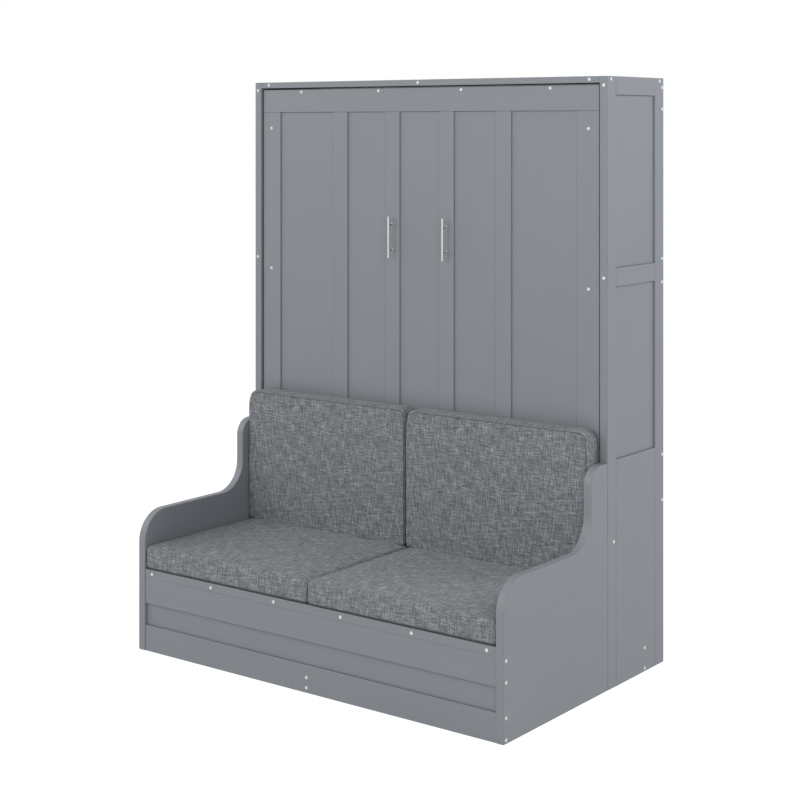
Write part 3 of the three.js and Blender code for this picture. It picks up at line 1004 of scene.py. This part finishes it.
def cut_into_cells(piece, low, high, margins):
    """Cuts a block into cells for the cloth. A margin is an end's rounding radius and number of cuts."""
    cell = settings().cushion.cell
    for axis in range(3):
        places = []
        inner = []
        ends = zip((low[axis], high[axis]), (1, -1), margins[axis], strict=True)
        for end, inward, (radius, cuts) in ends:
            inner.append(end + inward * radius)
            angles = [math.pi / 2 * i / cuts for i in range(1, cuts)]
            places += [end + inward * radius * (1 - math.sin(angle)) for angle in angles]
        count = max(1, round((inner[1] - inner[0]) / cell))
        step = (inner[1] - inner[0]) / count
        first = 0 if margins[axis][0][1] else 1
        last = count if margins[axis][1][1] else count - 1
        places += [inner[0] + i * step for i in range(first, last + 1)]
        cut_across(piece, axis, places)


def round_end(piece, low, high, axis, end, radius):
    """Rounds the edges round one end of a block: its levels shrink to the middle as a quarter circle."""
    inward = 1 if end == low[axis] else -1
    middle, half = (low + high) / 2, (high - low) / 2
    for vertex in piece.data.vertices:
        depth = (vertex.co[axis] - end) * inward
        if depth < radius:
            inset = radius - math.sqrt(max(0.0, radius * radius - (radius - depth) ** 2))
            for other in {0, 1, 2} - {axis}:
                away = vertex.co[other] - middle[other]
                vertex.co[other] = middle[other] + away * (1 - inset / half[other])


def lay_cloth(piece, steep=0.75, ends_at=2.0):
    """UVs in metres that run on over the edges, as the cloth does. The faces at the left and right ends,
    whose normals are steep, have their own piece of cloth further along."""
    layer = piece.data.uv_layers.new(name="cloth")
    points = piece.data.vertices
    for face in piece.data.polygons:
        is_end = abs(face.normal.x) > steep
        for loop in face.loop_indices:
            point = points[piece.data.loops[loop].vertex_index].co
            uv = (point.y + ends_at, point.z) if is_end else (point.x, point.y + point.z)
            layer.data[loop].uv = uv


def seam_share(piece, axis, lines):
    """Marks the levels that seams run on: 1 on their lines, 0 elsewhere."""
    return [
        1.0 if any(abs(vertex.co[axis] - line) < SAME_PLACE for line in lines) else 0.0
        for vertex in piece.data.vertices
    ]


def row_depth(radius, turn):
    """How far inside the end a row of a rounding lies that has turned some degrees from the side."""
    return radius * (1 - math.sin(math.radians(turn)))


def swell(piece, seams, reach):
    """Lets the filling push the cloth out between its seams, by a cloth simulation, up to a reach."""
    cushion = settings().cushion
    scene = bpy.context.scene
    no_move = 1e-7
    before = [(vertex.co.copy(), vertex.normal.copy()) for vertex in piece.data.vertices]
    held = piece.vertex_groups.new(name="seams")
    held.add([i for i, share in enumerate(seams) if share], 1.0, "REPLACE")
    activate(piece)
    bpy.ops.object.modifier_add(type="CLOTH")
    modifier = piece.modifiers[-1]
    cloth = modifier.settings
    cloth.quality = 6
    cloth.mass = 0.3
    cloth.tension_stiffness = cloth.compression_stiffness = 30
    cloth.shear_stiffness = 10
    cloth.bending_stiffness = 1.0
    cloth.use_pressure = True
    cloth.uniform_pressure_force = cushion.pressure
    cloth.effector_weights.gravity = 0
    cloth.vertex_group_mass = held.name
    modifier.point_cache.frame_start = 1
    modifier.point_cache.frame_end = cushion.frames
    for number in range(1, cushion.frames + 1):
        scene.frame_set(number)
    bpy.ops.object.modifier_apply(modifier=modifier.name)
    scene.frame_set(1)
    for vertex, (start, normal) in zip(piece.data.vertices, before, strict=True):
        way = (vertex.co - start) * cushion.give
        if way.dot(normal) < 0:
            way *= cushion.pull
        if way.length > no_move:
            vertex.co = start + way * (reach * math.tanh(way.length / reach) / way.length)


def draw_seams(piece, shares, depth):
    """Pulls the marked vertices in, and keeps the mark as the attribute that the cloth's colour reads, where
    it paints shade along the seams.
    """
    normals = [vertex.normal.copy() for vertex in piece.data.vertices]
    for vertex, normal, share in zip(piece.data.vertices, normals, shares, strict=True):
        vertex.co -= normal * depth * share
    mark = piece.data.attributes.new("seam", "FLOAT", "POINT")
    mark.data.foreach_set("value", shares)


def settle(piece, low, high, unevenness, seed):
    """Makes the stuffing a little uneven, and keeps the piece between its neighbours and on its seat.
    The seed takes each cushion to its own part of the noise."""
    lumps_in_a_metre = 7
    offset = Vector((seed * 3.1, seed * 1.7, seed * 2.3))
    for vertex in piece.data.vertices:
        vertex.co += vertex.normal * unevenness * noise.noise(vertex.co * lumps_in_a_metre + offset)
        for axis in range(3):
            vertex.co[axis] = min(max(vertex.co[axis], low[axis]), high[axis])


def finish_cushion(piece, seams, reach):
    """Lays the cloth on a foam block, swells it and draws its seams in."""
    lay_cloth(piece)
    swell(piece, seams, reach)
    draw_seams(piece, seams, settings().cushion.seam_depth)
    activate(piece)
    bpy.ops.object.shade_smooth()
    return piece


def place_cushion(piece, node, material, slot, seed, past):
    """Settles a cushion in its box or a little past it, subdivides it, and gives it its looks and body."""
    low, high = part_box(node)
    settle(piece, low - Vector(past[0]), high + Vector(past[1]), unevenness=0.0012, seed=seed)
    apply_modifier(piece, "SUBSURF", levels=1, render_levels=1)
    dress(piece, material, slot, node, node)


class WALLBED_OT_seat_cushions(bpy.types.Operator):
    """Two loose seat cushions, swollen by a cloth simulation"""

    bl_idname = "wallbed.seat_cushions"
    bl_label = "Seat cushions"

    def execute(self, context):
        cushion = settings().cushion
        cloth = melange_cloth("woven_melange_seat", cushion.cloth_colour)
        # The cloth reaches almost to the arm and the other cushion, and its middle swells up to the top
        wider_outside, wider_inside, shallower, lower = 0.004, 0.0018, 0.002, 0.0015
        gap, swelling = 0.0012, 0.006
        low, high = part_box("seat_cushion_left")
        low, high = low - Vector((wider_outside, 0, 0)), high - Vector((-wider_inside, shallower, lower))
        left = start_box("woven_seat_cushion_left", low, high)
        top, corner = cushion.seat_edge, cushion.seat_corner
        round_edges(left, lambda start, end: abs(start.z - end.z) > SAME_PLACE, corner, segments=4)
        upright = ((corner, 0), (corner, 0))
        cut_into_cells(left, low, high, (upright, upright, ((corner, 3), (top, 5))))
        # The seam's row and the one under it, where the cloth turns in over the deck. The cloth's colour
        # darkens both, as painted shade under the cushion's lower edge
        seams = seam_share(left, 2, [low.z + row_depth(corner, turn) for turn in (30, 60)])
        round_end(left, low, high, 2, high.z, top)
        round_end(left, low, high, 2, low.z, corner)
        finish_cushion(left, seams, swelling)
        right = twin(left, "woven_seat_cushion_right", (high.x - low.x + gap, 0, 0))
        outer, inner, front, above = 0.0055, 0.002, 0.004, 0.0035
        left_past = (outer, front, 0), (inner, 0, above)
        right_past = (inner, front, 0), (outer, 0, above)
        place_cushion(left, "seat_cushion_left", cloth, "seat_linen", 1, left_past)
        place_cushion(right, "seat_cushion_right", cloth, "seat_linen", 2, right_past)
        return {"FINISHED"}


class WALLBED_OT_back_cushions(bpy.types.Operator):
    """Two boxed back cushions with a seam round each panel, swollen by a cloth simulation"""

    bl_idname = "wallbed.back_cushions"
    bl_label = "Back cushions"

    def execute(self, context):
        cushion = settings().cushion
        cloth = melange_cloth("woven_melange_back", cushion.cloth_colour)
        wider_outside, narrower_inside, gap, swelling = 0.0114, 0.0006, 0.0085, 0.008
        low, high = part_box("back_cushion_left")
        low, high = low - Vector((wider_outside, 0, 0)), high - Vector((narrower_inside, 0, 0))
        left = start_box("woven_back_cushion_left", low, high)
        rear, seam = cushion.rear_edge, cushion.seam_edge
        round_edges(left, at_level(1, low.y), seam, segments=2)
        plain = ((0, 0), (0, 0))
        cut_into_cells(left, low, high, (plain, ((seam, 0), (rear, 4)), plain))
        # A seam runs along the middle of each rounding
        seams = seam_share(left, 1, (low.y + row_depth(seam, 45), high.y - row_depth(rear, 45)))
        round_end(left, low, high, 1, high.y, rear)
        self.shape_corners(left, low, high)
        finish_cushion(left, seams, swelling)
        right = twin(left, "woven_back_cushion_right", (high.x - low.x + gap, 0, 0))
        left_outer, left_inner, right_side, front, above = 0.0117, 0.002, 0.0095, 0.008, 0.003
        left_past = (left_outer, front, 0), (left_inner, 0, above)
        right_past = (right_side, front, 0), (right_side, 0, above)
        place_cushion(left, "back_cushion_left", cloth, "back_linen", 3, left_past)
        place_cushion(right, "back_cushion_right", cloth, "back_linen", 4, right_past)
        return {"FINISHED"}

    def shape_corners(self, piece, low, high):
        """Rounds the four corners, seen from the front, more and more behind the front seam. Lowers the
        front panel's top edge, draws its sewn corners in, the top left one most, and flares the sides."""
        cushion = settings().cushion
        # A tuck's reach from its corner in metres, and its share of the setting
        left_tuck, right_tuck, low_share, upright_share = (0.07, 1.7), (0.045, 1.1), 0.3, 0.8
        # The rear's shape is reached a little behind the middle, at this share of half the depth
        full_depth, no_step = 1.1, 1e-6
        middle = (low + high) / 2
        half = (high - low) / 2
        for vertex in piece.data.vertices:
            share = min(1.0, (vertex.co.y - low.y) / (half.y * full_depth))
            radius = cushion.rear_corner * share * share * (3 - 2 * share)
            away = vertex.co - middle
            to_corner = math.hypot(half.x - abs(away.x), half.z - abs(away.z))
            reach, amount = left_tuck if away.x < 0 else right_tuck
            near = max(0.0, 1 - to_corner / reach) * (1 - share)
            drawn = cushion.corner_tuck * near * near * (amount if away.z > 0 else low_share)
            beyond = Vector([max(0.0, abs(away[axis]) - half[axis] + radius) for axis in (0, 2)])
            if radius > SAME_PLACE and min(beyond) > no_step:
                keep = min(1.0, max(beyond) / beyond.length)
                for axis, over in zip((0, 2), beyond, strict=True):
                    vertex.co[axis] -= math.copysign(over * (1 - keep), away[axis])
            vertex.co.x -= math.copysign(drawn, away.x)
            vertex.co.z -= math.copysign(drawn * upright_share, away.z)
            vertex.co.x += math.copysign(cushion.flare * share, away.x)
            rise = max(0.0, away.z / half.z)
            vertex.co.z -= cushion.front_drop * rise * (1 - share) ** 3


# Studio


def area_lamp(name, place, aim, size, power):
    """A lamp like a soft box, which doesn't show itself to the camera."""
    deselect_all()
    turn = (Vector(aim) - Vector(place)).to_track_quat("-Z", "Y").to_euler()
    bpy.ops.object.light_add(type="AREA", location=place, rotation=turn)
    lamp = bpy.context.active_object
    lamp.name = name
    lamp.data.shape = "RECTANGLE"
    lamp.data.size, lamp.data.size_y = size
    lamp.data.energy = power
    lamp.visible_camera = False


class WALLBED_OT_stage(bpy.types.Operator):
    """White studio floor, soft lamps and the camera"""

    bl_idname = "wallbed.stage"
    bl_label = "Stage"

    def execute(self, context):
        self.floor()
        self.world()
        self.lamps()
        self.camera()
        context.scene.view_settings.view_transform = "Standard"
        return {"FINISHED"}

    def split_by_ray(self, tree, lighting, shown, output):
        """Lights the object by one shader, and shows another to the camera, in gloss and through glass."""
        rays = add_node(tree, "ShaderNodeLightPath").outputs
        seen = rays["Is Camera Ray"]
        for kind in ("Is Glossy Ray", "Is Transmission Ray"):
            links = {0: seen, 1: rays[kind]}
            seen = add_node(tree, "ShaderNodeMath", {"operation": "MAXIMUM"}, links=links).outputs[0]
        mix = add_node(tree, "ShaderNodeMixShader", links={0: seen, 1: lighting, 2: shown})
        tree.links.new(mix.outputs[0], tree.nodes[output].inputs["Surface"])

    def floor(self):
        deselect_all()
        bpy.ops.mesh.primitive_plane_add(size=60, location=(0, 0, 0))
        floor = bpy.context.active_object
        floor.name = "studio_floor"
        # Seamless white paper: pale, dull, and as white as the sheet behind it where no shadow falls
        colour = opaque(linear("#e4e4e4"))
        material, tree, shader = new_material("seamless_white_paper", 0.9, Base_Color=colour)
        glow = add_node(tree, "ShaderNodeEmission", values={"Color": (1, 1, 1, 1), "Strength": 0.88})
        shaded = add_node(tree, "ShaderNodeBsdfDiffuse", values={"Color": opaque((0.4, 0.4, 0.4))})
        lit = add_node(tree, "ShaderNodeAddShader", links={0: glow.outputs[0], 1: shaded.outputs[0]})
        self.split_by_ray(tree, shader.outputs[0], lit.outputs[0], "Material Output")
        paint_piece(floor, material)

    def world(self):
        world = bpy.data.worlds.new("white_studio")
        bpy.context.scene.world = world
        world.use_nodes = True
        tree = world.node_tree
        soft = tree.nodes["Background"]
        soft.inputs["Color"].default_value = (1, 1, 1, 1)
        soft.inputs["Strength"].default_value = settings().stage.world_strength
        white = add_node(tree, "ShaderNodeBackground", values={"Color": (1, 1, 1, 1), "Strength": 1.0})
        self.split_by_ray(tree, soft.outputs[0], white.outputs[0], "World Output")

    def lamps(self):
        """Each lamp's place, the place that it is aimed at, its size and its power."""
        stage = settings().stage
        area_lamp("key_lamp", (-2.4, -5.2, 3.6), (0, 0, 1.1), (3.0, 2.4), stage.key_strength)
        area_lamp("front_lamp", (0.5, -6.0, 3.2), (0, 0, 1.1), (3.0, 2.4), stage.front_strength)
        area_lamp("left_lamp", (-5.5, -1.5, 3.0), (0, 0, 1.1), (3.0, 2.4), stage.left_strength)
        area_lamp("side_lamp", (5.0, 2.6, 2.8), (0.8, 0.3, 1.3), (2.4, 2.4), stage.side_strength)
        area_lamp("high_lamp", (3.4, 1.6, 3.2), (0.845, 0.3, 1.8), (1.6, 1.6), stage.high_strength)
        area_lamp("corner_lamp", (3.0, -2.2, 2.8), (0.8, 0, 1.7), (1.6, 1.6), stage.corner_strength)

    def camera(self):
        """The photograph's camera, solved from the straight edges of the cabinet and the sofa."""
        deselect_all()
        bpy.ops.object.camera_add(
            location=(3.9028, -5.1438, 2.0243), rotation=(math.radians(90), 0, math.radians(37.1236))
        )
        camera = bpy.context.active_object
        camera.name = "photograph_view"
        camera.data.sensor_width = 36
        camera.data.lens = settings().stage.lens
        camera.data.shift_y = -0.3439
        camera.data.clip_end = 100
        bpy.context.scene.camera = camera


OPERATORS = (
    WALLBED_OT_boards,
    WALLBED_OT_bare_wood,
    WALLBED_OT_screw_caps,
    WALLBED_OT_handles,
    WALLBED_OT_pivots,
    WALLBED_OT_struts,
    WALLBED_OT_legs,
    WALLBED_OT_seat_cushions,
    WALLBED_OT_back_cushions,
    WALLBED_OT_stage,
)


class WALLBED_PT_panel(bpy.types.Panel):
    """Settings and steps of the wall bed"""

    bl_idname = "WALLBED_PT_panel"
    bl_label = "Wall bed"
    bl_space_type = "VIEW_3D"
    bl_region_type = "UI"
    bl_category = "Wall bed"

    def draw(self, context):
        layout = self.layout
        for group in (settings().paint, settings().hardware, settings().cushion, settings().stage):
            box = layout.box()
            for name in group.__annotations__:
                box.prop(group, name)
        for operator in OPERATORS:
            layout.operator(operator.bl_idname)


CLASSES = (
    PaintSettings,
    HardwareSettings,
    CushionSettings,
    StageSettings,
    WallBedSettings,
    *OPERATORS,
    WALLBED_PT_panel,
)


def register():
    for made in CLASSES:
        bpy.utils.register_class(made)
    bpy.types.Scene.wall_bed = PointerProperty(
        name="Wall bed", description="Sizes, colours and lights of the wall bed", type=WallBedSettings
    )


def unregister():
    del bpy.types.Scene.wall_bed
    for made in reversed(CLASSES):
        bpy.utils.unregister_class(made)


def main():
    register()
    bpy.ops.wallbed.boards()
    bpy.ops.wallbed.bare_wood()
    bpy.ops.wallbed.screw_caps()
    bpy.ops.wallbed.handles()
    bpy.ops.wallbed.pivots()
    bpy.ops.wallbed.struts()
    bpy.ops.wallbed.legs()
    bpy.ops.wallbed.seat_cushions()
    bpy.ops.wallbed.back_cushions()
    bpy.ops.wallbed.stage()


if __name__ == "__main__":
    main()
